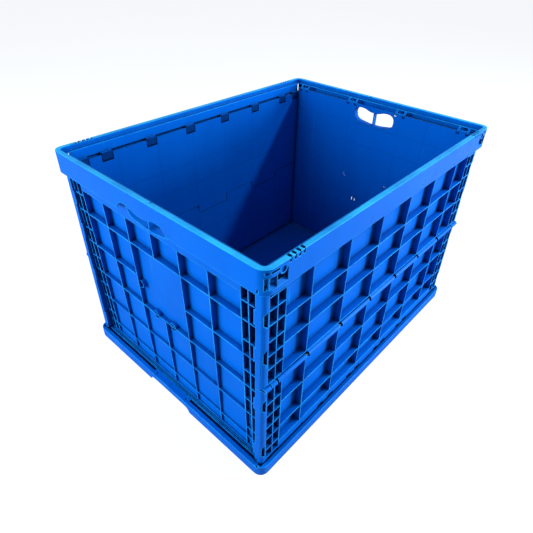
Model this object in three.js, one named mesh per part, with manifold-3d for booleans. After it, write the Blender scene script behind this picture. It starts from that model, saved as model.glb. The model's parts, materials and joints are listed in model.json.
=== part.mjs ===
// Collapsible storage crate: a 800 x 600 x 540 mm plastic container. Two long walls, each hinged in the
// middle, fold inwards between the base tray and the top frame once both end panels have been swung up
// under the top frame.
// Millimetres, +Z up, X along the long side, origin at the centre of the face the crate stands on.

import * as THREE from 'three';
import { mergeVertices } from 'three/addons/utils/BufferGeometryUtils.js';
import Module from 'manifold-3d';

const wasm = await Module();
wasm.setup();

// ---------------------------------------------------------------- driving dimensions

const LENGTH = 800;
const WIDTH = 600;
const HEIGHT = 540;
const HALF_X = LENGTH / 2;
const HALF_Y = WIDTH / 2;

const CORNER_RADIUS = 20; // outer vertical corners of the base and the top frame
const RIB = 2.6; // thickness of a moulded rib
const SKIN = 2.4; // thickness of a moulded skin
const GAP = 0.5; // running gap between moving pieces
const OVER = 1; // how far a cutter runs past the face that it opens

// base tray
const FOOT_HEIGHT = 9; // stacking foot below the flange
const FOOT_INSET = 11.5;
const FLANGE_TOP = 36;
const FLOOR_TOP = 35;
const FLOOR_HALF_LENGTH = HALF_X - 31; // the floor lies between the two end shoulders
const LONG_LIP = 8.5; // lip in front of a long wall
const GROOVE_END_D = 17; // far side of the channel under a long wall
const GROOVE_BOTTOM = 28;
const RIM_HOLLOW_D = 6.1; // the lip is hollow from below up to here
const STOP_D = [10.8, 15.2]; // stops that stand in the slots under the long walls
const STOP_HALF_WIDTH = 8.5;
const SCALLOP_HEIGHT = 12;

// top frame
const SKIRT_BOTTOM = 492;
const LIP_TOP_WIDTH = 10;
const LEDGE_WIDTH = 20;
const MOUTH_RADIUS = 6;
const LEDGE_TOP = HEIGHT - 9.5; // the foot of a crate stacked on top rests here
const FRAME_WALL_BOTTOM = 509.5; // inner wall of the long sides of the frame

// long walls, measured as a distance D in from the outer plane of the crate
const WALL_OUTER_D = 10; // plane of the rib edges
const WALL_INNER_D = 28; // smooth inner face
const WALL_SKIN_D = WALL_INNER_D - SKIN; // outer side of the inner skin
const WALL_HALF_LENGTH = HALF_X - 10;
const POST_INNER_X = 378; // the end posts run from here to the ends of the wall
const POST_RADIUS = 8;
const FOLD_AXIS_D = 23; // base and top hinge lines
const MID_AXIS_D = 9.5; // middle hinge line, on the outside
const BASE_AXIS_Z = 42;
const TOP_AXIS_Z = 495;
const MID_AXIS_Z = (BASE_AXIS_Z + TOP_AXIS_Z) / 2;
const WALL_BOTTOM = 37;
const WALL_TOP = 506.5;
const LOWER_PLATE_TOP = MID_AXIS_Z - 7; // the rails lie close to the middle barrels
const UPPER_PLATE_BOTTOM = MID_AXIS_Z + 7;
const SKIN_JOINT_Z = MID_AXIS_Z + 6.5; // where the inner skins of the two halves meet
const TAB_REACH = 15.5; // how far an upper tab hangs below the middle hinge line
const BACK_PLATE_D = [12, 12 + SKIN]; // closes the top hinge slots from outside
const SHELF_Z = [TOP_AXIS_Z - 10, TOP_AXIS_Z - 10 + SKIN]; // closes them from below

// hinges
const ROD_RADIUS = 2.5;
const BORE_RADIUS = 3.15;
const BEAM_RADIUS = 5;
const KNUCKLE_RADIUS = 4.6;
const KNUCKLE_SWEEP = 5.5; // room for a knuckle to turn
const MID_BARREL_RADIUS = 6;
const MID_SWEEP = 6.6;
const MID_WEB = 4;
const WEB_REACH = 9; // the web of a middle knuckle reaches this far from the hinge line
const MID_NOTCH = 8; // gap between two middle knuckles, where the wire shows
const SKIN_REACH = 15; // a skin tab starts this far from the hinge line
const SEAM = 1.1; // visible gap between the inner skins
const ROD_SIDES = 8;
const BARREL_SIDES = 8;
const MID_BARREL_SIDES = 12;
const KNUCKLE_WIDTH = 26;
const SLOT_WIDTH = 28;

// end panels, measured as a distance S in from the outer plane of the crate
const END_AXIS_S = 26;
const END_AXIS_Z = 518.5;
const END_INNER_S = 31;
const END_SKIN_S = END_INNER_S - SKIN;
const END_TOP = 521;
const END_RIB_TOP = 492; // above this only the skin is left
const END_BOTTOM = 39;
const END_TOP_S = 12.5; // rib edges lean in from here at the top
const END_BOTTOM_S = 24; // to here at the bottom
const END_HALF_WIDTH = 270.5;
const END_BARREL_RADIUS = 4.5;
const END_SWEEP = 5.4;

// bays of the long walls
const LONG_RIBS = [54, 162, 270];
const LONG_STRIP = [338, 358, POST_INNER_X];
const UPPER_ROWS = [UPPER_PLATE_BOTTOM + RIB / 2, 350, 412, 504];
const LOWER_ROWS = [60.7, 114, 191, LOWER_PLATE_TOP - RIB / 2];
const UPPER_CELLS = [UPPER_ROWS[0], 314, 347, 381, 417, 449, 476, 504];
const LOWER_CELLS = [44, 73, 110, 146, 182, 218, LOWER_ROWS[3]];

// bays of the end panels
const END_RIBS = [0, 79, 158, 236];
const END_STRIP = [236, 253, END_HALF_WIDTH - RIB / 2];
const END_ROWS = [END_BOTTOM + RIB / 2, 71, 154, 238, 321, 405, 464];
const END_CELLS = [END_BOTTOM + RIB / 2, 71, 102, 154, 197, 238, 280, 322, 359, 406, 448, 490];
const LABEL_ROWS = [238, 405]; // the smooth label area lies between these rows
const LABEL_HALF_WIDTH = 79;

// hand hole
const HOLE_HALF_WIDTH = 62;
const HOLE_BOTTOM = 470;
const HOLE_TOP = 513;
const GRIP_EDGE = 6;

// hinge stations along the long sides and along the ends
const BASE_KNUCKLES = [-350, -233, -117, 0, 117, 233, 350];
const TOP_KNUCKLES = [-354, -295, -177, -59, 59, 177, 295, 354];
const END_TABS = [-250, -76, 76, 250];
const END_TAB_WIDTH = 17;
const EAR_WIDTH = 6;

// slots under the outer face of each long wall
const UNDER_SLOTS = [60, 174.5];
const UNDER_SLOT_HALF = 29.5;
const UNDER_SLOT_TOP = 43.5;
const END_SLOT = [258, 374];

// locking lugs on the wall ends, which hold the end panels shut
const LUG_RANGES = [[57, 94], [204, 237], [332, 367], [418, 450]];
const LUG_HEIGHT = 3.5;
const POST_SLOT_X = [380, 387];

// ---------------------------------------------------------------- solids

function solid(geometry) {
  const bare = geometry.index ? geometry.toNonIndexed() : geometry.clone();
  bare.deleteAttribute('normal');
  bare.deleteAttribute('uv');
  const merged = mergeVertices(bare, 1e-4);
  return new wasm.Manifold(new wasm.Mesh({
    numProp: 3,
    vertProperties: new Float32Array(merged.attributes.position.array),
    triVerts: new Uint32Array(merged.index.array),
  }));
}

function block(x, y, z) {
  const box = new THREE.BoxGeometry(x[1] - x[0], y[1] - y[0], z[1] - z[0]);
  box.translate((x[0] + x[1]) / 2, (y[0] + y[1]) / 2, (z[0] + z[1]) / 2);
  return solid(box);
}

// cylinder whose axis is parallel to X (along = 'x') or Y (along = 'y')
function bar(along, from, to, across, z, radius, sides = BARREL_SIDES) {
  const shape = new THREE.CylinderGeometry(radius, radius, to - from, sides);
  shape.rotateY(Math.PI / sides);
  if (along === 'x') {
    shape.rotateZ(Math.PI / 2);
    shape.translate((from + to) / 2, across, z);
  } else {
    shape.translate(across, (from + to) / 2, z);
  }
  return solid(shape);
}

// outline in the XY plane, raised from z[0] to z[1]
function raise(outline, z, curveSegments = 3) {
  const options = { depth: z[1] - z[0], bevelEnabled: false, curveSegments };
  const body = new THREE.ExtrudeGeometry(outline, options);
  body.translate(0, 0, z[0]);
  return solid(body);
}

// outline given as (y, z), swept along X from x[0] to x[1]
function sweepX(outline, x, curveSegments = 4) {
  const options = { depth: x[1] - x[0], bevelEnabled: false, curveSegments };
  const body = new THREE.ExtrudeGeometry(outline, options);
  body.applyMatrix4(new THREE.Matrix4().set(0, 0, 1, x[0], 1, 0, 0, 0, 0, 1, 0, 0, 0, 0, 0, 1));
  return solid(body);
}

// outline given as (x, z), swept along Y from y[0] to y[1]
function sweepY(outline, y, curveSegments = 4) {
  const options = { depth: y[1] - y[0], bevelEnabled: false, curveSegments };
  const body = new THREE.ExtrudeGeometry(outline, options);
  body.applyMatrix4(new THREE.Matrix4().set(1, 0, 0, 0, 0, 0, -1, y[1], 0, 1, 0, 0, 0, 0, 0, 1));
  return solid(body);
}

function polygon(points) {
  return new THREE.Shape(points.map(([a, b]) => new THREE.Vector2(a, b)));
}

function roundedRectangle(halfX, halfY, radius) {
  const shape = new THREE.Shape();
  shape.absarc(halfX - radius, halfY - radius, radius, 0, Math.PI / 2);
  shape.absarc(radius - halfX, halfY - radius, radius, Math.PI / 2, Math.PI);
  shape.absarc(radius - halfX, radius - halfY, radius, Math.PI, 1.5 * Math.PI);
  shape.absarc(halfX - radius, radius - halfY, radius, 1.5 * Math.PI, 2 * Math.PI);
  return shape;
}

// slab with rounded corners, its edge set in from the outer plane of the crate
function slab(inset, z, radius = Math.max(CORNER_RADIUS - inset, 3)) {
  return raise(roundedRectangle(HALF_X - inset, HALF_Y - inset, radius), z);
}

function joined(pieces) {
  return pieces.reduce((whole, piece) => whole.add(piece));
}

function cut(body, cutters) {
  return cutters.length > 0 ? body.subtract(joined(cutters)) : body;
}

function mirrored(list) {
  return [...list.map((value) => -value).reverse(), ...list];
}

function pairs(list) {
  return list.slice(1).map((value, index) => [list[index], value]);
}

// the range between two values, whichever way round they come
function range(a, b) {
  return a < b ? [a, b] : [b, a];
}

// the same thing at both ends of a side: make(-1) and make(1)
function atBothEnds(make) {
  return [-1, 1].flatMap(make);
}

// frames of reference of the near walls: D or S counts inwards from the outer plane
const frontY = (d) => d - HALF_Y;
const leftX = (s) => s - HALF_X;

// block against the front wall, given as x, D and z
function frontBlock(x, d, z) {
  return block(x, [frontY(d[0]), frontY(d[1])], z);
}

// block against the left end, given as S, y and z
function leftBlock(s, y, z) {
  return block([leftX(s[0]), leftX(s[1])], y, z);
}

function frontBar(x, d, z, radius, sides) {
  return bar('x', x[0], x[1], frontY(d), z, radius, sides);
}

function leftBar(y, s, z, radius, sides) {
  return bar('y', y[0], y[1], leftX(s), z, radius, sides);
}

function turned(body) {
  return body.rotate([0, 0, 180]);
}

function bothSides(pieces) {
  return [...pieces, ...pieces.map(turned)];
}

// ---------------------------------------------------------------- base tray

// eight-sided barrel on a hinge line, with a web that runs up (1) or down (-1) to a level
function knuckle(x, axisZ, webZ, up) {
  const y = frontY(FOLD_AXIS_D);
  const reach = KNUCKLE_RADIUS;
  const flat = reach * Math.tan(Math.PI / 8);
  const outline = [
    [y - reach, webZ],
    [y - reach, axisZ - up * flat],
    [y - flat, axisZ - up * reach],
    [y + flat, axisZ - up * reach],
    [y + reach, axisZ - up * flat],
    [y + reach, webZ],
  ];
  const half = KNUCKLE_WIDTH / 2;
  const bore = frontBar([x - half - OVER, x + half + OVER], FOLD_AXIS_D, axisZ, BORE_RADIUS, ROD_SIDES);
  return sweepX(polygon(up > 0 ? outline : outline.reverse()), [x - half, x + half]).subtract(bore);
}

// channel along the long side that takes the lower edge of the wall
function longGroove() {
  return frontBlock([-WALL_HALF_LENGTH - 3, WALL_HALF_LENGTH + 3], [LONG_LIP, GROOVE_END_D],
    [GROOVE_BOTTOM, FLANGE_TOP + OVER]);
}

// stops that stand in the slots under the long wall
function wallStops() {
  const stops = mirrored(UNDER_SLOTS).map((x) => frontBlock([x - STOP_HALF_WIDTH, x + STOP_HALF_WIDTH], STOP_D,
    [GROOVE_BOTTOM - OVER, UNDER_SLOT_TOP - 2.5]));
  const strips = atBothEnds((side) => frontBlock(range(side * 262, side * 338), [11, 13.5],
    [GROOVE_BOTTOM - OVER, UNDER_SLOT_TOP - 4]));
  return [...stops, ...strips];
}

// in each end shoulder: channels for the lugs of a folded wall, two thin grooves, two holes and a notch
function endShoulderCuts() {
  const shallow = [33.6, FLANGE_TOP + OVER];
  const channels = atBothEnds((side) => leftBlock([9.5, 16], range(side * 65, side * 278),
    [29, FLANGE_TOP + OVER]));
  const holes = [-54, 54].map((y) => leftBlock([7, 10], [y - 2.5, y + 2.5], [20, FLANGE_TOP + OVER]));
  const grooves = [[17.4, 18.6], [20, 22]].map((s) => leftBlock(s, [-END_HALF_WIDTH, END_HALF_WIDTH], shallow));
  const notch = leftBlock([0.8, 3.2], [-287.5, -283], [33, FLANGE_TOP + OVER]);
  return [...channels, ...holes, ...grooves, notch];
}

// hollow underside: a grid of ribs is left between these pockets
function undersidePockets() {
  const pockets = [];
  const columns = [-384, -256, -128, 0, 128, 256, 384];
  const rows = [-285, -262, -131, 0, 131, 262, 285];
  for (const [x0, x1] of pairs(columns)) {
    for (const [y0, y1] of pairs(rows)) {
      const underGroove = Math.max(Math.abs(y0), Math.abs(y1)) > 262;
      const top = underGroove ? GROOVE_BOTTOM - SKIN : FLOOR_TOP - SKIN;
      pockets.push(block([x0 + RIB / 2, x1 - RIB / 2], [y0 + RIB / 2, y1 - RIB / 2], [-OVER, top]));
    }
  }
  return pockets;
}

// hollow behind the outer face of the lip
function rimHollow() {
  const z = [FOOT_HEIGHT - OVER, FLANGE_TOP - SKIN];
  return slab(SKIN, z).subtract(slab(RIM_HOLLOW_D, [z[0] - OVER, z[1] + OVER]));
}

// long shallow scallop in the middle of the lower outer edge of each end
function endScallop() {
  const low = FOOT_HEIGHT - OVER;
  const high = FOOT_HEIGHT + SCALLOP_HEIGHT;
  const arc = new THREE.Shape();
  arc.moveTo(-72, low);
  arc.quadraticCurveTo(-70, high, -56, high);
  arc.lineTo(56, high);
  arc.quadraticCurveTo(70, high, 72, low);
  arc.closePath();
  return sweepX(arc, [-HALF_X - OVER, -HALF_X + 5]);
}

function baseTray() {
  const foot = slab(FOOT_INSET, [0, FOOT_HEIGHT + OVER]);
  const flange = slab(0, [FOOT_HEIGHT, FLANGE_TOP]);
  const sink = block([-FLOOR_HALF_LENGTH, FLOOR_HALF_LENGTH], [frontY(LONG_LIP), -frontY(LONG_LIP)],
    [FLOOR_TOP, HEIGHT]);
  const cuts = [longGroove(), ...endShoulderCuts(), endScallop()];
  const tray = cut(foot.add(flange), [sink, rimHollow(), ...undersidePockets(), ...bothSides(cuts)]);
  const knuckles = BASE_KNUCKLES.map((x) => knuckle(x, BASE_AXIS_Z, FLOOR_TOP - 2, -1));
  return joined([tray, ...bothSides([...knuckles, ...wallStops()])]);
}

// ---------------------------------------------------------------- long walls

// pockets between the ribs of a half wall
function wallPockets(rows, cells) {
  const pockets = [];
  const depth = [WALL_OUTER_D - 10, WALL_SKIN_D];
  const bays = pairs([-LONG_STRIP[0], ...mirrored(LONG_RIBS), LONG_STRIP[0]]);
  for (const [x0, x1] of bays) {
    for (const [z0, z1] of pairs(rows)) {
      pockets.push(frontBlock([x0 + RIB / 2, x1 - RIB / 2], depth, [z0 + RIB / 2, z1 - RIB / 2]));
    }
  }
  for (const [x0, x1] of pairs(LONG_STRIP)) {
    for (const [z0, z1] of pairs(cells)) {
      const z = [z0 + RIB / 2, z1 - RIB / 2];
      const across = [x0 + RIB / 2, x1 - RIB / 2];
      pockets.push(...atBothEnds((side) => frontBlock(range(side * across[0], side * across[1]), depth, z)));
    }
  }
  return pockets;
}

// rounded outer edge of the wall's end post
function postRounding(z) {
  const corner = new THREE.Shape();
  const x = -WALL_HALF_LENGTH + POST_RADIUS;
  const y = frontY(WALL_OUTER_D) + POST_RADIUS;
  corner.moveTo(-WALL_HALF_LENGTH - OVER, frontY(WALL_OUTER_D) - OVER);
  corner.lineTo(x, frontY(WALL_OUTER_D) - OVER);
  corner.lineTo(x, frontY(WALL_OUTER_D));
  corner.absarc(x, y, POST_RADIUS, 1.5 * Math.PI, Math.PI, true);
  corner.lineTo(-WALL_HALF_LENGTH - OVER, y);
  corner.closePath();
  const left = raise(corner, z);
  return [left, left.mirror([1, 0, 0])];
}

// beam around a base or top hinge line, with bevelled edges so that it turns clear of its neighbours
function hingeBeam(z) {
  const y = frontY(FOLD_AXIS_D);
  const reach = BEAM_RADIUS;
  const bevel = reach * Math.tan(Math.PI / 8);
  const outline = polygon([
    [y - reach, z - reach],
    [y + bevel, z - reach],
    [y + reach, z - bevel],
    [y + reach, z + bevel],
    [y + bevel, z + reach],
    [y - reach, z + reach],
  ]);
  return sweepX(outline, [-WALL_HALF_LENGTH, WALL_HALF_LENGTH]);
}

// openings in the wall where the knuckles of the base or the frame stand
function knuckleSlots(stations, z) {
  return stations.map((x) => frontBlock([x - SLOT_WIDTH / 2, x + SLOT_WIDTH / 2],
    [FOLD_AXIS_D - KNUCKLE_SWEEP, WALL_INNER_D + OVER], z));
}

// deep slots in the post face, in line with the locking lugs, with one slanting end edge each way
function postSlots(zRanges) {
  const [x0, x1] = POST_SLOT_X;
  const slant = 5;
  const y = [frontY(WALL_OUTER_D) - OVER, frontY(WALL_INNER_D - 5)];
  return zRanges.flatMap(([z0, z1]) => {
    const outline = [[-x1, z0 + slant], [-x0, z0], [-x0, z1], [-x1, z1 - slant]];
    const left = sweepY(polygon(outline), y);
    return [left, left.mirror([1, 0, 0])];
  });
}

function lugs(zRanges) {
  return zRanges.flatMap((z) => atBothEnds((side) => frontBlock(range(side * 385, side * WALL_HALF_LENGTH),
    [WALL_INNER_D - OVER, WALL_INNER_D + LUG_HEIGHT], z)));
}

// bays of the middle hinge between the ribs, owned by the lower and the upper half in turn
function middleBays(outer, owner) {
  const edges = [-outer, ...mirrored(LONG_RIBS), outer];
  return pairs(edges).filter((_, index) => (index % 2 === 0) === (owner === 'lower'));
}

// barrel and web of one middle knuckle; up = 1 hangs from the upper half, -1 stands on the lower half
function middleKnuckle(x, up) {
  return frontBar(x, MID_AXIS_D, MID_AXIS_Z, MID_BARREL_RADIUS, MID_BARREL_SIDES)
    .add(frontBlock(x, [WALL_OUTER_D, WALL_OUTER_D + MID_WEB], range(MID_AXIS_Z, MID_AXIS_Z + up * WEB_REACH)));
}

function middleKnuckles(owner, up) {
  return middleBays(357, owner).map(([from, to]) => middleKnuckle([from + MID_NOTCH / 2, to - MID_NOTCH / 2], up));
}

// inner skin of a bay, which laps over the other half behind the hinge
function skinTabs(owner, from, to) {
  return middleBays(POST_INNER_X - GAP, owner).map(([x0, x1]) => frontBlock([x0 + GAP, x1 - GAP],
    [WALL_SKIN_D, WALL_INNER_D], range(from, to)));
}

// small relief at the foot of each step of the inner seam
function seamReliefs() {
  return mirrored(LONG_RIBS).map((x) => frontBlock([x + 2, x + 6.5], [WALL_INNER_D - SKIN * 0.7, WALL_INNER_D + OVER],
    [SKIN_JOINT_Z - 5, SKIN_JOINT_Z + OVER]));
}

function middleBore() {
  return frontBar([-HALF_X, HALF_X], MID_AXIS_D, MID_AXIS_Z, BORE_RADIUS, ROD_SIDES);
}

function postPieces(z) {
  return atBothEnds((side) => frontBlock(range(side * POST_INNER_X, side * WALL_HALF_LENGTH),
    [WALL_OUTER_D, WALL_INNER_D], z));
}

// hollow behind the deep bottom rail of the lower half
function railHollow() {
  const x = [-LONG_STRIP[0] + RIB / 2, LONG_STRIP[0] - RIB / 2];
  const top = LOWER_ROWS[0] + RIB / 2 - SKIN;
  const front = WALL_OUTER_D + SKIN;
  return [
    frontBlock(x, [front, FOLD_AXIS_D - BEAM_RADIUS - GAP], [WALL_BOTTOM - OVER, top]),
    frontBlock(x, [front, WALL_SKIN_D], [BASE_AXIS_Z + BEAM_RADIUS + OVER, top]),
  ];
}

// slots in the bottom rail, around the stops of the base
function underSlots() {
  const depth = [WALL_OUTER_D - OVER, FOLD_AXIS_D - BEAM_RADIUS - GAP];
  const z = [WALL_BOTTOM - OVER, UNDER_SLOT_TOP];
  const middle = mirrored(UNDER_SLOTS).map((x) => frontBlock([x - UNDER_SLOT_HALF, x + UNDER_SLOT_HALF],
    depth, z));
  const ends = atBothEnds((side) => frontBlock(range(side * END_SLOT[0], side * END_SLOT[1]), depth,
    [WALL_BOTTOM - OVER, UNDER_SLOT_TOP - 2]));
  return [...middle, ...ends];
}

function lowerWall() {
  const lugRanges = LUG_RANGES.slice(0, 2);
  const plate = frontBlock([-WALL_HALF_LENGTH, WALL_HALF_LENGTH], [WALL_OUTER_D, WALL_INNER_D],
    [WALL_BOTTOM, LOWER_PLATE_TOP]);
  const tabRoom = middleBays(LONG_STRIP[0], 'upper').map((x) => frontBlock(x,
    [WALL_SKIN_D - GAP, WALL_INNER_D + OVER], [MID_AXIS_Z - TAB_REACH - SEAM, MID_AXIS_Z]));
  const shell = cut(plate, [
    ...wallPockets(LOWER_ROWS, LOWER_CELLS),
    frontBlock([-HALF_X, HALF_X], [FOLD_AXIS_D - 4, WALL_INNER_D + OVER], [WALL_BOTTOM - OVER, BASE_AXIS_Z]),
    ...railHollow(),
    ...tabRoom,
  ]);
  const endBarrels = atBothEnds((side) => frontBar(range(side * 373, side * 387), MID_AXIS_D, MID_AXIS_Z,
    MID_BARREL_RADIUS, MID_BARREL_SIDES));
  const body = joined([
    shell,
    hingeBeam(BASE_AXIS_Z),
    ...postPieces([LOWER_PLATE_TOP - OVER, MID_AXIS_Z - GAP]),
    ...middleKnuckles('lower', -1),
    ...skinTabs('lower', MID_AXIS_Z - SKIN_REACH, SKIN_JOINT_Z),
    ...lugs(lugRanges),
  ]);
  const trimmed = cut(body, [
    ...knuckleSlots(BASE_KNUCKLES, [WALL_BOTTOM - OVER, BASE_AXIS_Z + KNUCKLE_SWEEP]),
    ...underSlots(),
    ...seamReliefs(),
    ...postRounding([WALL_BOTTOM - OVER, MID_AXIS_Z]),
    ...postSlots(lugRanges),
    frontBar([-HALF_X, HALF_X], FOLD_AXIS_D, BASE_AXIS_Z, BORE_RADIUS, ROD_SIDES),
  ]);
  return joined([trimmed, ...endBarrels]).subtract(middleBore());
}

function upperWall() {
  const lugRanges = LUG_RANGES.slice(2);
  const plate = frontBlock([-WALL_HALF_LENGTH, WALL_HALF_LENGTH], [WALL_OUTER_D, WALL_INNER_D],
    [UPPER_PLATE_BOTTOM, UPPER_ROWS[3] + RIB / 2]);
  const skirts = middleBays(POST_INNER_X + 2, 'lower').map((x) => frontBlock(x, [WALL_SKIN_D, WALL_INNER_D],
    [SKIN_JOINT_Z + SEAM, SKIN_JOINT_Z + SKIN_REACH]));
  const top = frontBlock([-WALL_HALF_LENGTH, WALL_HALF_LENGTH], [WALL_SKIN_D, WALL_INNER_D],
    [TOP_AXIS_Z, WALL_TOP]);
  const across = [-POST_INNER_X, POST_INNER_X];
  const back = frontBlock(across, BACK_PLATE_D, [SHELF_Z[0], UPPER_ROWS[3]]);
  const shelf = frontBlock(across, [BACK_PLATE_D[0], WALL_SKIN_D + OVER], SHELF_Z);
  const endKnuckles = atBothEnds((side) => middleKnuckle(range(side * 356.5, side * 371.5), 1));
  const endRoom = atBothEnds((side) => frontBar(range(side * 372, side * (HALF_X - OVER)), MID_AXIS_D,
    MID_AXIS_Z, MID_SWEEP, MID_BARREL_SIDES));
  const body = joined([
    cut(plate, wallPockets(UPPER_ROWS, UPPER_CELLS)),
    top,
    back,
    shelf,
    hingeBeam(TOP_AXIS_Z),
    ...postPieces([MID_AXIS_Z + GAP, UPPER_PLATE_BOTTOM + OVER]),
    ...middleKnuckles('upper', 1),
    ...endKnuckles,
    ...skinTabs('upper', MID_AXIS_Z - TAB_REACH, MID_AXIS_Z + SKIN_REACH),
    ...skirts,
    ...lugs(lugRanges),
  ]);
  return cut(body, [
    ...knuckleSlots(TOP_KNUCKLES, [TOP_AXIS_Z - KNUCKLE_SWEEP, WALL_TOP + OVER]),
    ...postRounding([MID_AXIS_Z, WALL_TOP]),
    ...postSlots(lugRanges),
    ...endRoom,
    middleBore(),
    frontBar([-HALF_X, HALF_X], FOLD_AXIS_D, TOP_AXIS_Z, BORE_RADIUS, ROD_SIDES),
  ]);
}

// ---------------------------------------------------------------- end panels

// S of the leaning rib plane at a height
function endRibS(z) {
  return END_BOTTOM_S + (END_TOP_S - END_BOTTOM_S) * (z - END_BOTTOM) / (END_TOP - END_BOTTOM);
}

// wavy outline of the hand hole, as (y, z), grown outwards by a margin
function handleOutline(grow) {
  const shape = new THREE.Shape();
  const half = HOLE_HALF_WIDTH + grow;
  const low = HOLE_BOTTOM - grow;
  const high = HOLE_TOP + grow;
  shape.moveTo(-half, low + 24);
  shape.quadraticCurveTo(-half, low + 4, 24 - half, low + 3);
  shape.quadraticCurveTo(0, low - 4, half - 24, low + 3);
  shape.quadraticCurveTo(half, low + 4, half, low + 24);
  shape.quadraticCurveTo(half, high, half - 20, high);
  shape.quadraticCurveTo(half - 34, high, half - 44, high - 5);
  shape.quadraticCurveTo(0, high - 10, 44 - half, high - 5);
  shape.quadraticCurveTo(34 - half, high, 20 - half, high);
  shape.quadraticCurveTo(-half, high, -half, low + 24);
  return shape;
}

// a pocket on each side of the middle
function endPocketPair([y0, y1], [z0, z1]) {
  return atBothEnds((side) => leftBlock([0, END_SKIN_S], range(side * (y0 + RIB / 2), side * (y1 - RIB / 2)),
    [z0 + RIB / 2, z1 - RIB / 2]));
}

function endPockets() {
  const pockets = [];
  for (const bay of pairs(END_RIBS)) {
    for (const row of pairs(END_ROWS)) {
      const isLabel = bay[0] === 0 && row[0] >= LABEL_ROWS[0] && row[1] <= LABEL_ROWS[1];
      pockets.push(...(isLabel ? [] : endPocketPair(bay, row)));
    }
  }
  for (const bay of pairs(END_STRIP)) {
    pockets.push(...pairs(END_CELLS).flatMap((cell) => endPocketPair(bay, cell)));
  }
  const width = LABEL_HALF_WIDTH - RIB / 2;
  pockets.push(leftBlock([0, END_SKIN_S], [-width, width], [LABEL_ROWS[0] + RIB / 2, LABEL_ROWS[1] - RIB / 2]));
  return pockets;
}

// hook that straddles the lower rib of the label area, open towards +Y
function hookOutline(y, z) {
  const outer = 9.5;
  const inner = 7.6;
  const arm = y + 8;
  const shape = new THREE.Shape();
  shape.moveTo(arm, z + outer);
  shape.lineTo(y, z + outer);
  shape.absarc(y, z, outer, Math.PI / 2, 1.5 * Math.PI);
  shape.lineTo(arm, z - outer);
  shape.lineTo(arm, z - inner);
  shape.lineTo(y, z - inner);
  shape.absarc(y, z, inner, 1.5 * Math.PI, Math.PI / 2, true);
  shape.lineTo(arm, z + inner);
  shape.closePath();
  return shape;
}

// half ring beside the label area, open towards +Y
function clipOutline(y, z) {
  const shape = new THREE.Shape();
  shape.absarc(y, z, 10, Math.PI / 2, 1.5 * Math.PI);
  shape.absarc(y, z, 8.1, 1.5 * Math.PI, Math.PI / 2, true);
  shape.closePath();
  return shape;
}

const HOOKS = [-28, 28].map((y) => [y, LABEL_ROWS[0]]);
const CLIP = [71, 300];

function labelHolders() {
  const x = [leftX(END_INNER_S - 12.5), leftX(END_INNER_S - OVER)];
  return [
    ...HOOKS.map(([y, z]) => sweepX(hookOutline(y, z), x, 3)),
    sweepX(clipOutline(...CLIP), x, 3),
  ];
}

// slits through the skin behind the label holders
function labelSlits() {
  const s = [END_SKIN_S - OVER, END_INNER_S + OVER];
  const beside = HOOKS.flatMap(([y, z]) => atBothEnds((hand) => leftBlock(s,
    range(y + hand * 4, y + hand * 6.2), [z - 16, z - 3])));
  const ring = [-CLIP[0], CLIP[0]].flatMap((y) => [
    leftBlock(s, [y - 5, y - 3], [CLIP[1] - 5, CLIP[1] + 5]),
    leftBlock(s, [y - 5, y + 2], [CLIP[1] + 3.4, CLIP[1] + 5]),
    leftBlock(s, [y - 5, y + 2], [CLIP[1] - 5, CLIP[1] - 3.4]),
  ]);
  return [...beside, ...ring];
}

function tabSpan(y) {
  return [y - END_TAB_WIDTH / 2, y + END_TAB_WIDTH / 2];
}

function hingeTab(y) {
  return leftBar(tabSpan(y), END_AXIS_S, END_AXIS_Z, END_BARREL_RADIUS)
    .add(leftBlock([END_AXIS_S - 3, END_INNER_S - OVER], tabSpan(y), [505, END_AXIS_Z]));
}

// room beside each tab for the ears of the top frame
function earRoom(y) {
  return atBothEnds((hand) => leftBlock([END_AXIS_S - END_SWEEP, END_INNER_S + OVER],
    range(y + hand * END_TAB_WIDTH / 2, y + hand * (END_TAB_WIDTH / 2 + EAR_WIDTH + 2 * GAP)),
    [END_AXIS_Z - END_SWEEP, END_TOP + OVER]));
}

function endPanel() {
  const side = polygon([
    [leftX(END_BOTTOM_S), END_BOTTOM],
    [leftX(END_INNER_S), END_BOTTOM],
    [leftX(END_INNER_S), END_TOP],
    [leftX(END_SKIN_S), END_TOP],
    [leftX(END_SKIN_S), END_RIB_TOP],
    [leftX(endRibS(END_RIB_TOP)), END_RIB_TOP],
  ]);
  const wedge = sweepY(side, [-END_HALF_WIDTH, END_HALF_WIDTH]);
  const grip = sweepX(handleOutline(GRIP_EDGE), [leftX(14.5), leftX(END_INNER_S)]);
  const aboveEdge = leftBlock([0, END_SKIN_S], [-80, 80], [508, END_TOP + 5]);
  const hole = sweepX(handleOutline(0), [-HALF_X, leftX(END_INNER_S + OVER)]);
  const bridge = leftBlock([15.5, END_INNER_S], [-RIB / 2, RIB / 2], [HOLE_BOTTOM - 4, HOLE_TOP - 7]);
  const lugRoom = LUG_RANGES.flatMap(([z0, z1]) => atBothEnds((hand) => leftBlock([0, 16],
    range(hand * (END_HALF_WIDTH - 3), hand * (END_HALF_WIDTH + OVER)), [z0 - 2, z1 + 2])));
  const shell = cut(wedge, endPockets());
  const body = cut(joined([shell, grip, ...labelHolders()]), [hole, aboveEdge, ...labelSlits()]);
  return cut(joined([body, bridge, ...END_TABS.map(hingeTab)]), [
    ...END_TABS.flatMap(earRoom),
    ...lugRoom,
    leftBar([-HALF_Y, HALF_Y], END_AXIS_S, END_AXIS_Z, BORE_RADIUS, ROD_SIDES),
  ]);
}

// ---------------------------------------------------------------- top frame

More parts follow.
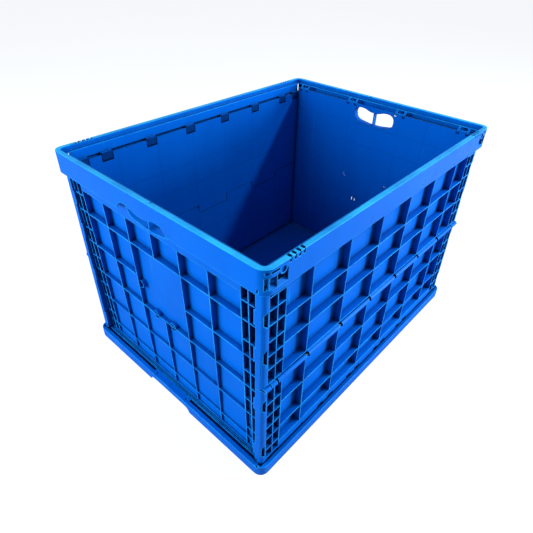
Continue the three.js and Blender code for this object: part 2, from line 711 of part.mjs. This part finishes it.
// pair of ears that hold the rod on both sides of an end panel's tab
function endEars(y) {
  const reach = END_BARREL_RADIUS;
  const flat = reach * Math.tan(Math.PI / 8);
  const root = LEDGE_TOP - 1.2;
  const outline = polygon([
    [leftX(LEDGE_WIDTH - 2.2), END_AXIS_Z - reach],
    [leftX(END_AXIS_S + flat), END_AXIS_Z - reach],
    [leftX(END_AXIS_S + reach), END_AXIS_Z - flat],
    [leftX(END_AXIS_S + reach), END_AXIS_Z + flat],
    [leftX(END_AXIS_S + flat), END_AXIS_Z + reach],
    [leftX(LEDGE_WIDTH + 0.5), root],
    [leftX(LEDGE_WIDTH - 2.2), root],
  ]);
  return atBothEnds((hand) => {
    const inner = y + hand * (END_TAB_WIDTH / 2 + GAP);
    const ear = range(inner, inner + hand * EAR_WIDTH);
    return sweepY(outline, ear)
      .subtract(leftBar([ear[0] - OVER, ear[1] + OVER], END_AXIS_S, END_AXIS_Z, BORE_RADIUS, ROD_SIDES));
  });
}

// wavy finger arch in the lower edge of each end of the skirt
function skirtArch() {
  const low = SKIRT_BOTTOM - OVER;
  const high = SKIRT_BOTTOM + 17;
  const arch = new THREE.Shape();
  arch.moveTo(-72, low);
  arch.lineTo(-72, SKIRT_BOTTOM);
  arch.quadraticCurveTo(-69, high, -50, high);
  arch.quadraticCurveTo(-34, high, -20, high - 6);
  arch.quadraticCurveTo(0, high - 10, 20, high - 6);
  arch.quadraticCurveTo(34, high, 50, high);
  arch.quadraticCurveTo(69, high, 72, SKIRT_BOTTOM);
  arch.lineTo(72, low);
  arch.closePath();
  return sweepX(arch, [-HALF_X - OVER, leftX(SKIN + OVER)]);
}

// small cuts in the short face: slots at the corners, a notch beside the arch, a nick in the lip
function shortFaceCuts() {
  const depth = [-OVER, SKIN + OVER];
  return [
    ...atBothEnds((hand) => leftBlock([-OVER, 6], range(hand * 282.6, hand * 285.6), [496, 502.5])),
    leftBlock(depth, [-93, -81], [SKIRT_BOTTOM - OVER, SKIRT_BOTTOM + 2.6]),
    leftBlock([7, LIP_TOP_WIDTH + OVER], [-32, -27], [HEIGHT - 3, HEIGHT + OVER]),
  ];
}

const RING = { s: 39.7, z: 527, outer: 8.5, inner: 5.6, sides: 12 };

// openings of the long skirt near one corner: two top slots, the cells below the bar and the sill
function cornerWindow(side) {
  const across = (from, to) => range(side * (HALF_X - from), side * (HALF_X - to));
  const disc = (radius, d) => bar('y', frontY(d[0]), frontY(d[1]), side * (HALF_X - RING.s), RING.z, radius,
    RING.sides);
  const sillOutline = polygon([
    [frontY(0.3), 499],
    [frontY(7), 499],
    [frontY(7), 506],
    [frontY(0.3), 501.5],
  ]);
  const openings = [
    frontBlock(across(5.5, 12.4), [-OVER, 6.4], [530, 534.6]),
    frontBlock(across(14.6, 31), [-OVER, 4], [530.6, 534.6]),
    frontBlock(across(5.5, 30), [-OVER, 8], [502, 524]),
    frontBlock(across(30, 50), [-OVER, 8], [502, 526]),
  ];
  const ring = disc(RING.outer, [0, 5.4]).subtract(disc(RING.inner, [-OVER, 3]));
  const ribs = [
    frontBlock(across(10.6, 12.6), [1, 7], [500, 524.5]),
    frontBlock(across(26, 28), [1, 7], [500, 524.5]),
  ];
  const sill = sweepX(sillOutline, across(8, 50.6));
  const recess = disc(RING.inner, [-OVER, 3]);
  return { openings, recess, extras: [ring, ...ribs, sill] };
}

// L-shaped notches through the lip beside each window
function lipNotches(side) {
  const across = (from, to) => range(side * (HALF_X - from), side * (HALF_X - to));
  return [0, 1, 2, 3].flatMap((index) => {
    const s = 52.5 + index * 10.2;
    return [
      frontBlock(across(s, s + 4.5), [-OVER, 4], [531.5, 536.2]),
      frontBlock(across(s + 2.4, s + 4.5), [-OVER, 3], [535, HEIGHT + OVER]),
      frontBlock(across(s + 1.4, s + 7.4), [1.8, 9.2], [535, HEIGHT + OVER]),
    ];
  });
}

function ledgeSlots() {
  return TOP_KNUCKLES.flatMap((x) => [-7, 7].map((shift) => frontBlock([x + shift - 3, x + shift + 3],
    [LIP_TOP_WIDTH + 2, LIP_TOP_WIDTH + 5], [LEDGE_TOP - 5, LEDGE_TOP + OVER])));
}

function topFrame() {
  const outer = slab(0, [SKIRT_BOTTOM, HEIGHT]);
  const well = slab(SKIN, [SKIRT_BOTTOM - OVER, LEDGE_TOP - SKIN], CORNER_RADIUS - SKIN);
  const mouth = slab(LEDGE_WIDTH, [SKIRT_BOTTOM - OVER, HEIGHT + OVER], MOUTH_RADIUS);
  const seat = slab(LIP_TOP_WIDTH, [LEDGE_TOP, HEIGHT + OVER], CORNER_RADIUS - LIP_TOP_WIDTH);
  const lipHollow = slab(SKIN, [LEDGE_TOP - SKIN - OVER, HEIGHT - SKIN], CORNER_RADIUS - SKIN)
    .subtract(slab(LIP_TOP_WIDTH - SKIN, [LEDGE_TOP - SKIN - 2, HEIGHT], 12));
  const windows = [-1, 1].map(cornerWindow);
  const shell = cut(outer, [well, mouth, seat, lipHollow]);
  const wallEnd = HALF_X - LEDGE_WIDTH - MOUTH_RADIUS;
  const innerWall = frontBlock([-wallEnd, wallEnd], [LEDGE_WIDTH - SKIN, LEDGE_WIDTH],
    [FRAME_WALL_BOTTOM, LEDGE_TOP - OVER]);
  const knuckles = TOP_KNUCKLES.map((x) => knuckle(x, TOP_AXIS_Z, FRAME_WALL_BOTTOM + 2, 1));
  const cuts = [
    ...windows.flatMap((window) => window.openings),
    ...atBothEnds(lipNotches),
    ...ledgeSlots(),
    skirtArch(),
    ...shortFaceCuts(),
  ];
  const open = cut(shell, bothSides(cuts));
  const fillings = joined(bothSides(windows.flatMap((window) => window.extras))).intersect(outer);
  const recesses = bothSides(windows.map((window) => window.recess));
  const extras = [innerWall, ...knuckles, ...END_TABS.flatMap(endEars)];
  return cut(joined([open, fillings, ...bothSides(extras)]), recesses);
}

// ---------------------------------------------------------------- hinge rods

const FOLD_ROD_END = WALL_HALF_LENGTH - 1;
const MIDDLE_ROD_END = 386.5;
const END_ROD_SPAN = [58, 268];

// each hinge line has two rods that meet in the middle
function longRods(d, z, end) {
  return atBothEnds((half) => frontBar(range(half * GAP, half * end), d, z, ROD_RADIUS, ROD_SIDES));
}

function endRod(half) {
  const y = range(half * END_ROD_SPAN[0], half * END_ROD_SPAN[1]);
  return leftBar(y, END_AXIS_S, END_AXIS_Z, ROD_RADIUS, ROD_SIDES);
}

// ---------------------------------------------------------------- assembly

const BLUE = { color: 0x0a5fe0, roughness: 0.38, metalness: 0 };
const STEEL = { color: 0xb8bcc2, roughness: 0.35, metalness: 1 };

function part(name, body, finish) {
  const { vertProperties, triVerts } = body.getMesh();
  const geometry = new THREE.BufferGeometry();
  geometry.setAttribute('position', new THREE.BufferAttribute(vertProperties, 3));
  geometry.setIndex(new THREE.BufferAttribute(triVerts, 1));
  const mesh = new THREE.Mesh(geometry, new THREE.MeshStandardMaterial({ ...finish, flatShading: true }));
  mesh.name = name;
  return mesh;
}

// the same pieces serve both sides: the rear and right ones are turned half a turn about Z
function sidePair(near, far, name, body, finish) {
  const first = part(`${near}_${name}`, body, finish);
  const second = part(`${far}_${name}`, body, finish);
  second.rotation.z = Math.PI;
  return [first, second];
}

function rodPair(near, far, name, bodies) {
  return bodies.flatMap((body, index) => sidePair(near, far, `${name}_${'ab'[index]}`, body, STEEL));
}

const crate = new THREE.Group();
crate.name = 'collapsible_crate';
crate.add(
  part('base_tray', baseTray(), BLUE),
  part('top_frame', topFrame(), BLUE),
  ...sidePair('front', 'rear', 'lower_panel', lowerWall(), BLUE),
  ...sidePair('front', 'rear', 'upper_panel', upperWall(), BLUE),
  ...sidePair('left', 'right', 'end_panel', endPanel(), BLUE),
  ...rodPair('front', 'rear', 'base_rod', longRods(FOLD_AXIS_D, BASE_AXIS_Z, FOLD_ROD_END)),
  ...rodPair('front', 'rear', 'middle_rod', longRods(MID_AXIS_D, MID_AXIS_Z, MIDDLE_ROD_END)),
  ...rodPair('front', 'rear', 'top_rod', longRods(FOLD_AXIS_D, TOP_AXIS_Z, FOLD_ROD_END)),
  ...rodPair('left', 'right', 'end_rod', atBothEnds(endRod)),
);

export default crate;
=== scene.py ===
"""Looks of a collapsible storage crate in moulded blue plastic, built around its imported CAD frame."""

import json
import math
from functools import reduce

import bpy
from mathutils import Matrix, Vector


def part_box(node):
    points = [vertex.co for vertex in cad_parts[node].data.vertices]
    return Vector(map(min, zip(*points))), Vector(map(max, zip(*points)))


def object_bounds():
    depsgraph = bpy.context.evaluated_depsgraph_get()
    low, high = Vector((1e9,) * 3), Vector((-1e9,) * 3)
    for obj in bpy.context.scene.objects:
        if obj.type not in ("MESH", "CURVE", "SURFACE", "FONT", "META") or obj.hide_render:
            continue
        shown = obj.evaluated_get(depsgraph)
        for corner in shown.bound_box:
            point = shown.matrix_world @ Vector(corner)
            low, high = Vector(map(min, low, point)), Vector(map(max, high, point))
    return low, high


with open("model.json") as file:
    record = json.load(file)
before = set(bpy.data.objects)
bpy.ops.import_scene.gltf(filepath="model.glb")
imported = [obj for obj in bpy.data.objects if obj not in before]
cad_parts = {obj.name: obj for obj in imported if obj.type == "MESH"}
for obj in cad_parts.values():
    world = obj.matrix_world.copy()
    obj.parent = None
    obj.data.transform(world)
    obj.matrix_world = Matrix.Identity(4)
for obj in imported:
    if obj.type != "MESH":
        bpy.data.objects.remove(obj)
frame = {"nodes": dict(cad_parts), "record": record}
CAD_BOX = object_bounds()

MM = 0.001
X, Y, Z = 0, 1, 2
LOW, HIGH = Vector(CAD_BOX[0]), Vector(CAD_BOX[1])
CENTRE = (LOW + HIGH) / 2

# outer box, and the wire line of the front wall's top hinge, in mm
HALF_LENGTH, HALF_WIDTH, HEIGHT = HIGH / MM
WIRE_LOW, WIRE_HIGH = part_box("front_top_rod_a")
WIRE = (WIRE_LOW + WIRE_HIGH) / 2 / MM


# ---------------------------------------------------------------- geometry of the moulded pieces

EDGE_RADIUS = 0.7 * MM
EDGE_SEGMENTS = 2
SHARP_EDGE = math.radians(35)
MERGE_DISTANCE = 0.005 * MM


def moulded(obj):
    """Turns the faceted CAD mesh into a moulded skin: merged, with every sharp edge rounded."""
    weld = obj.modifiers.new("weld", "WELD")
    weld.merge_threshold = MERGE_DISTANCE
    edge = obj.modifiers.new("edge", "BEVEL")
    edge.width = EDGE_RADIUS
    edge.segments = EDGE_SEGMENTS
    edge.limit_method = "ANGLE"
    edge.angle_limit = SHARP_EDGE
    edge.use_clamp_overlap = False
    edge.harden_normals = False
    obj.data.shade_smooth()
    normals = obj.modifiers.new("normals", "WEIGHTED_NORMAL")
    normals.keep_sharp = False


# ---------------------------------------------------------------- shader nodes

class Nodes:
    """A material, with short calls that add and link its nodes. The seed shifts its noises in space."""

    def __init__(self, name, seed=0.0):
        self.material = bpy.data.materials.new(name)
        self.material.use_nodes = True
        self.tree = self.material.node_tree
        self.shader = self.tree.nodes["Principled BSDF"]
        self.local = self.add("ShaderNodeTexCoord").outputs["Object"]
        shift = self.add("ShaderNodeVectorMath", operation="ADD", Vector=self.local)
        shift.inputs[1].default_value = (seed, 0.3 * seed, 0.7 * seed)
        self.place = shift.outputs[0]

    def add(self, kind, **settings):
        node = self.tree.nodes.new(kind)
        for key, value in settings.items():
            if key in node.inputs:
                self.plug(value, node.inputs[key])
            else:
                setattr(node, key, value)
        return node

    def plug(self, value, socket):
        if isinstance(value, bpy.types.NodeSocket):
            self.tree.links.new(value, socket)
        else:
            socket.default_value = value

    def set(self, **values):
        """Sets inputs of the material's shader. An underscore in a name stands for a space."""
        for name, value in values.items():
            self.plug(value, self.shader.inputs[name.replace("_", " ")])

    def noise(self, scale, detail=3.0, rough=0.5, stretch=(1, 1, 1)):
        mapping = self.add("ShaderNodeMapping", Vector=self.place, Scale=stretch)
        spot = mapping.outputs[0]
        node = self.add("ShaderNodeTexNoise", Vector=spot, Scale=scale, Detail=detail, Roughness=rough)
        return node.outputs["Fac"]

    def ramp(self, value, low, high, to_low=0.0, to_high=1.0):
        node = self.add("ShaderNodeMapRange", Value=value)
        node.inputs["From Min"].default_value = low
        node.inputs["From Max"].default_value = high
        node.inputs["To Min"].default_value = to_low
        node.inputs["To Max"].default_value = to_high
        return node.outputs["Result"]

    def mix(self, factor, a, b):
        node = self.add("ShaderNodeMix", data_type="RGBA")
        self.plug(factor, node.inputs["Factor"])
        self.plug(a, node.inputs["A"])
        self.plug(b, node.inputs["B"])
        return node.outputs["Result"]

    def maths(self, operation, a, b=0.0):
        node = self.add("ShaderNodeMath", operation=operation)
        self.plug(a, node.inputs[0])
        self.plug(b, node.inputs[1])
        return node.outputs[0]

    def total(self, *values):
        return reduce(lambda a, b: self.maths("ADD", a, b), values)

    def product(self, *values):
        return reduce(lambda a, b: self.maths("MULTIPLY", a, b), values)

    def highest(self, *values):
        return reduce(lambda a, b: self.maths("MAXIMUM", a, b), values)

    def opposite(self, mask):
        return self.maths("SUBTRACT", 1.0, mask)

    def occlusion(self, distance):
        return self.add("ShaderNodeAmbientOcclusion", samples=8, Distance=distance).outputs["AO"]

    def lines(self, axis, positions, width):
        """Mask of thin soft lines where one coordinate is at one of the positions (mm)."""
        spot = self.add("ShaderNodeSeparateXYZ", Vector=self.local).outputs[axis]
        mask = 0.0
        for position in positions:
            away = self.maths("ABSOLUTE", self.maths("SUBTRACT", spot, position * MM))
            mask = self.highest(mask, self.ramp(away, width * MM, 0.0))
        return mask

    def within(self, limits):
        """Mask of where |x|, |y| and z lie inside the limits (mm), which is nowhere if there are none."""
        if limits is None:
            return 0.0
        split = self.add("ShaderNodeSeparateXYZ", Vector=self.local)
        mask = 1.0
        for axis, (low, high) in limits.items():
            spot = split.outputs[axis]
            if axis != Z:
                spot = self.maths("ABSOLUTE", spot)
            above = self.maths("GREATER_THAN", spot, low * MM)
            below = self.maths("LESS_THAN", spot, high * MM)
            mask = self.product(mask, above, below)
        return mask

    def bump(self, height, strength, distance, normal=None):
        node = self.add("ShaderNodeBump", Height=height, Strength=strength, Distance=distance)
        if normal is not None:
            self.tree.links.new(normal, node.inputs["Normal"])
        return node.outputs[0]


# ---------------------------------------------------------------- regions of the crate, in mm

FROM_MIDDLE = -1  # a lower limit below zero, so that the middle plane itself counts


def mirrored(*positions):
    return [side * position for side in (-1, 1) for position in positions]


# inside the walls, where faces and edges are darkened with painted shade
INSIDE = {X: (FROM_MIDDLE, HALF_LENGTH - 30.2), Y: (FROM_MIDDLE, HALF_WIDTH - 27.2)}
# top face of the lip, lightened with a painted highlight on the frame
LIP_TOP = {Z: (HEIGHT - 0.8, HEIGHT + 5)}
TRAY_FLOOR = {X: (FROM_MIDDLE, HALF_LENGTH - 32), Y: (FROM_MIDDLE, HALF_WIDTH - 30), Z: (34, 36)}
# hinge pockets of the frame, darkened with painted shade
HINGE_POCKETS = {
    X: (FROM_MIDDLE, HALF_LENGTH - 28),
    Y: (abs(WIRE.y) - 7, abs(WIRE.y) + 6),
    Z: (WIRE.z - 15, WIRE.z + 14.8),
}

WALL_RIBS = [(X, mirrored(54, 162, 270, 338)), (Z, [114, 191, 350, 412])]
END_RIBS = [(Y, mirrored(79, 158, 236)), (Z, [71, 154, 238, 405, 464])]
TRAY_RIBS = [(X, [0, *mirrored(128, 256)]), (Y, [0, *mirrored(131)])]


# ---------------------------------------------------------------- plastic

BLUE = (0.0, 0.125, 0.62, 1)
# darker blue of the mottling, and of the painted shade on the inner faces and along the sink lines
DEEP = (0.0, 0.42 * BLUE[1], 0.52 * BLUE[2], 1)
# pale blue of the scuffs, and of the painted highlight on proud outer edges and the lip top
PALE = (0.03, 0.58, 1.0, 1)
# dark navy of the ejector pin marks, and of the painted shade in corners, creases, inner edges and hinge
# pockets
PIN_MARK_AND_SHADE = (0.0, 0.004, 0.035, 1)
SPECULAR_TINT = (0.02, 0.55, 1.0, 1)
PLASTIC_IOR = 1.49

# reach of the edge mask, which places painted highlight on outer edges and painted shade on inner ones
EDGE_SAMPLE_RADIUS = 2.4 * MM
HOLLOW_REACH = 22 * MM
CREASE_REACH = 4 * MM
SINK_WIDTH = 3.0


def pigment(n):
    """Broad mottling of the blue, and streaks along the flow of the melt."""
    patch = n.ramp(n.noise(5.0, 4.0), 0.3, 0.7)
    streak = n.ramp(n.noise(22.0, 3.0, 0.55, (1, 1, 0.12)), 0.35, 0.75)
    shade = n.total(n.product(patch, 0.22), n.product(streak, 0.14))
    return n.mix(shade, BLUE, DEEP)


def sink_marks(n, ribs):
    """Mask of the lines opposite the ribs."""
    return n.highest(0.0, *[n.lines(axis, positions, SINK_WIDTH) for axis, positions in ribs])


def edges(n):
    """Mask of the edges, found where a rounded normal turns away from the flat one."""
    rounded = n.add("ShaderNodeBevel", samples=6, Radius=EDGE_SAMPLE_RADIUS).outputs[0]
    flat = n.add("ShaderNodeNewGeometry").outputs["Normal"]
    turn = n.add("ShaderNodeVectorMath", operation="DOT_PRODUCT")
    n.plug(rounded, turn.inputs[0])
    n.plug(flat, turn.inputs[1])
    return n.ramp(turn.outputs["Value"], 0.992, 0.90)


def painted_highlights(n, rim, hollow, inside, highlight_region):
    """Mask of the painted highlight on outer edges that stand proud, broken up by noise, and over a given
    region.
    """
    proud = n.ramp(hollow, 0.55, 0.95)
    broken = n.ramp(n.noise(30.0, 5.0, 0.6), 0.25, 0.55)
    edge = n.product(rim, proud, broken, n.opposite(inside))
    sheen = n.product(n.within(highlight_region), n.ramp(n.noise(11.0, 5.0, 0.6), 0.35, 0.65, 0.35, 0.85))
    return n.highest(edge, sheen)


def ejector_pins(n, region):
    """Mask of small round marks scattered over a region."""
    cells = n.add("ShaderNodeTexVoronoi", Vector=n.local, Scale=9.0, Randomness=0.35)
    return n.product(n.within(region), n.ramp(cells.outputs["Distance"], 0.075, 0.06))


def scuffs(n):
    """Mask of patches of fine scratches, upright and level."""
    upright = n.ramp(n.noise(70.0, 3.0, 0.55, (1, 1, 0.06)), 0.66, 0.78)
    level = n.ramp(n.noise(55.0, 3.0, 0.55, (0.05, 1, 1)), 0.68, 0.80)
    patches = n.ramp(n.noise(7.0, 3.0), 0.45, 0.70)
    return n.product(n.highest(upright, level), patches)


def painted_shade(n, rim, hollow, inside, shade_region):
    """Mask of painted shade in corners, in creases, along the inner edges and over a given region."""
    corner = n.product(n.ramp(hollow, 0.85, 0.20), 0.90)
    crease = n.product(n.ramp(n.occlusion(CREASE_REACH), 0.80, 0.35), 0.97)
    inner_edge = n.product(inside, rim, 0.9)
    return n.highest(corner, crease, inner_edge, n.product(n.within(shade_region), 0.75))


def relief(n, marks, sink_and_shade):
    """Grain of the mould, slight waviness, scratches, and sink marks."""
    grain = n.bump(n.noise(1500.0, 2.0), 0.10, 0.05 * MM)
    wave = n.bump(n.noise(9.0, 2.0, 0.4), 0.30, 1.2 * MM, grain)
    cut = n.bump(marks, 0.20, 0.05 * MM, wave)
    return n.bump(n.opposite(sink_and_shade), 0.5, 0.25 * MM, cut)


def plastic(name, seed, roughness=0.36, ribs=(), shade_region=None, highlight_region=None, pins=None):
    """Injection-moulded polypropylene, used for some years.

    ribs lists (axis, positions) of the ribs, which leave faint sink marks on the smooth inner faces, drawn as
    a bump and darkened with painted shade.
    The last three are the limits of a region darkened with painted shade, a region lightened with a painted
    highlight, and one with ejector pin marks.
    """
    n = Nodes(name, seed)
    inside = n.within(INSIDE)
    rim = edges(n)
    hollow = n.occlusion(HOLLOW_REACH)
    sink_and_shade = sink_marks(n, ribs)
    marks = scuffs(n)
    shade_mask = painted_shade(n, rim, hollow, inside, shade_region)

    # sink lines opposite the ribs: the dip is bumped in relief, and darkened with painted shade
    colour = n.mix(n.product(sink_and_shade, 0.28), pigment(n), DEEP)
    # painted shade: the inner faces darkened
    colour = n.mix(n.product(inside, 0.32), colour, DEEP)
    # painted highlight: proud outer edges and the lip top lightened
    colour = n.mix(n.product(painted_highlights(n, rim, hollow, inside, highlight_region), 0.85), colour, PALE)
    colour = n.mix(n.product(ejector_pins(n, pins), 0.6), colour, PIN_MARK_AND_SHADE)
    colour = n.mix(n.product(marks, 0.30), colour, PALE)
    # painted shade: corners, creases, inner edges and the hinge pockets darkened towards navy
    colour = n.mix(shade_mask, colour, PIN_MARK_AND_SHADE)

    shine = n.ramp(n.noise(14.0, 5.0, 0.6), 0.3, 0.7, roughness - 0.05, roughness + 0.10)
    matt = n.total(n.product(marks, 0.15), n.product(shade_mask, 0.30))
    n.set(Base_Color=colour, Roughness=n.total(shine, matt), Normal=relief(n, marks, sink_and_shade))
    n.set(IOR=PLASTIC_IOR, Specular_IOR_Level=0.16, Specular_Tint=SPECULAR_TINT)
    return n.material


# ---------------------------------------------------------------- wire

WIRE_DARK = (0.02, 0.025, 0.03, 1)
WIRE_LIGHT = (0.07, 0.075, 0.08, 1)


def wire(name):
    """Drawn wire gone dark with age: a mottled grey with fine lines along the draw."""
    n = Nodes(name)
    mottle = n.ramp(n.noise(120.0, 4.0), 0.3, 0.7)
    sheen = n.ramp(n.noise(60.0, 3.0), 0.3, 0.7, 0.45, 0.60)
    drawn = n.bump(n.noise(900.0, 2.0, 0.5, (0.02, 1, 1)), 0.2, 0.05 * MM)
    n.set(Base_Color=n.mix(mottle, WIRE_DARK, WIRE_LIGHT), Metallic=1.0, Roughness=sheen, Normal=drawn)
    return n.material


# ---------------------------------------------------------------- crate

def dress(obj, material):
    obj.data.materials.clear()
    obj.data.materials.append(material)


def crate():
    skins = {
        "tray_plastic": plastic("tray_blue", 1.0, ribs=TRAY_RIBS, pins=TRAY_FLOOR),
        # the frame: painted shade over its hinge pockets, and a painted highlight on its lip top
        "frame_plastic": plastic("frame_blue", 2.0, 0.30, shade_region=HINGE_POCKETS, highlight_region=LIP_TOP),
        "wall_plastic": plastic("wall_blue", 3.0, ribs=WALL_RIBS),
        "end_plastic": plastic("end_blue", 4.0, ribs=END_RIBS),
        "rod_steel": wire("drawn_wire"),
    }
    for part in frame["record"]["subparts"]:
        node = frame["nodes"][part["node"]]
        dress(node, skins[part["material_slot"]])
        if part["material_slot"] != "rod_steel":
            moulded(node)


# ---------------------------------------------------------------- studio

FLOOR_SIZE = 40
FLOOR_DROP = 0.5 * MM
FLOOR_DARK = (0.24, 0.25, 0.27, 1)
FLOOR_LIGHT = (0.28, 0.29, 0.31, 1)
FLOOR_GLOW = (0.97, 0.98, 1.0, 1)
FLOOR_GLOW_SEEN = 0.84  # the camera sees the floor glow, and the crate isn't lit by it

SKY = (0.93, 0.96, 1.0, 1)
SKY_LIGHT = 0.36
SKY_SEEN = 1.0

LIGHT_COLOUR = (0.80, 0.93, 1.0)

# place (m), diameter (m) and power (W) of the round lights, which all face the middle of the crate
LIGHTS = {
    "key": ((1.9, -1.5, 2.4), 0.30, 62),
    "front": ((1.7, -2.4, 0.8), 1.0, 116),
    "left": ((-2.6, 1.0, 1.2), 2.0, 118),
}


def backdrop():
    """Plain pale floor under the crate."""
    bpy.ops.mesh.primitive_plane_add(size=FLOOR_SIZE, location=(0, 0, LOW.z - FLOOR_DROP))
    floor = bpy.context.object
    floor.name = "floor"
    n = Nodes("studio_floor")
    seen = n.add("ShaderNodeLightPath").outputs["Is Camera Ray"]
    n.set(Base_Color=n.mix(n.noise(0.7), FLOOR_DARK, FLOOR_LIGHT), Roughness=0.9, Specular_IOR_Level=0.1)
    n.set(Emission_Color=FLOOR_GLOW, Emission_Strength=n.product(seen, FLOOR_GLOW_SEEN))
    dress(floor, n.material)


def sky():
    """Even light from all round, which looks white to the camera."""
    world = bpy.data.worlds.new("studio")
    bpy.context.scene.world = world
    world.use_nodes = True
    tree = world.node_tree
    background = tree.nodes["Background"]
    background.inputs["Color"].default_value = SKY
    seen = tree.nodes.new("ShaderNodeLightPath").outputs["Is Camera Ray"]
    glow = tree.nodes.new("ShaderNodeMapRange")
    glow.inputs["To Min"].default_value = SKY_LIGHT
    glow.inputs["To Max"].default_value = SKY_SEEN
    tree.links.new(seen, glow.inputs["Value"])
    tree.links.new(glow.outputs["Result"], background.inputs["Strength"])


def round_light(name, place, diameter, power):
    light = bpy.data.lights.new(name, "AREA")
    light.shape = "DISK"
    light.size = diameter
    light.energy = power
    light.color = LIGHT_COLOUR
    obj = bpy.data.objects.new(name, light)
    bpy.context.scene.collection.objects.link(obj)
    obj.location = place
    obj.rotation_euler = (CENTRE - Vector(place)).to_track_quat("-Z", "Y").to_euler()


def studio():
    backdrop()
    sky()
    for name, (place, diameter, power) in LIGHTS.items():
        round_light(name, place, diameter, power)
    view = bpy.context.scene.view_settings
    view.view_transform = "Standard"
    view.look = "None"


# ---------------------------------------------------------------- camera

CAMERA_PLACE = (-0.7548, -0.6203, 0.9176)
CAMERA_TILT = 54.0246  # degrees up from straight down
CAMERA_ROLL = -1.2474
CAMERA_HEADING = -47.6561  # degrees from +Y, negative towards +X
SENSOR_WIDTH = 36
FOCAL_LENGTH = 30.57
SHIFT = (-0.0061, -0.0200)


def camera():
    """Corner view from above, with the slight roll and off-centre axis of a hand-held wide lens."""
    data = bpy.data.cameras.new("camera")
    data.sensor_width = SENSOR_WIDTH
    data.lens = FOCAL_LENGTH
    data.shift_x, data.shift_y = SHIFT
    data.clip_start = 10 * MM
    obj = bpy.data.objects.new("camera", data)
    bpy.context.scene.collection.objects.link(obj)
    obj.location = CAMERA_PLACE
    obj.rotation_euler = [math.radians(turn) for turn in (CAMERA_TILT, CAMERA_ROLL, CAMERA_HEADING)]
    bpy.context.scene.camera = obj


crate()
studio()
camera()
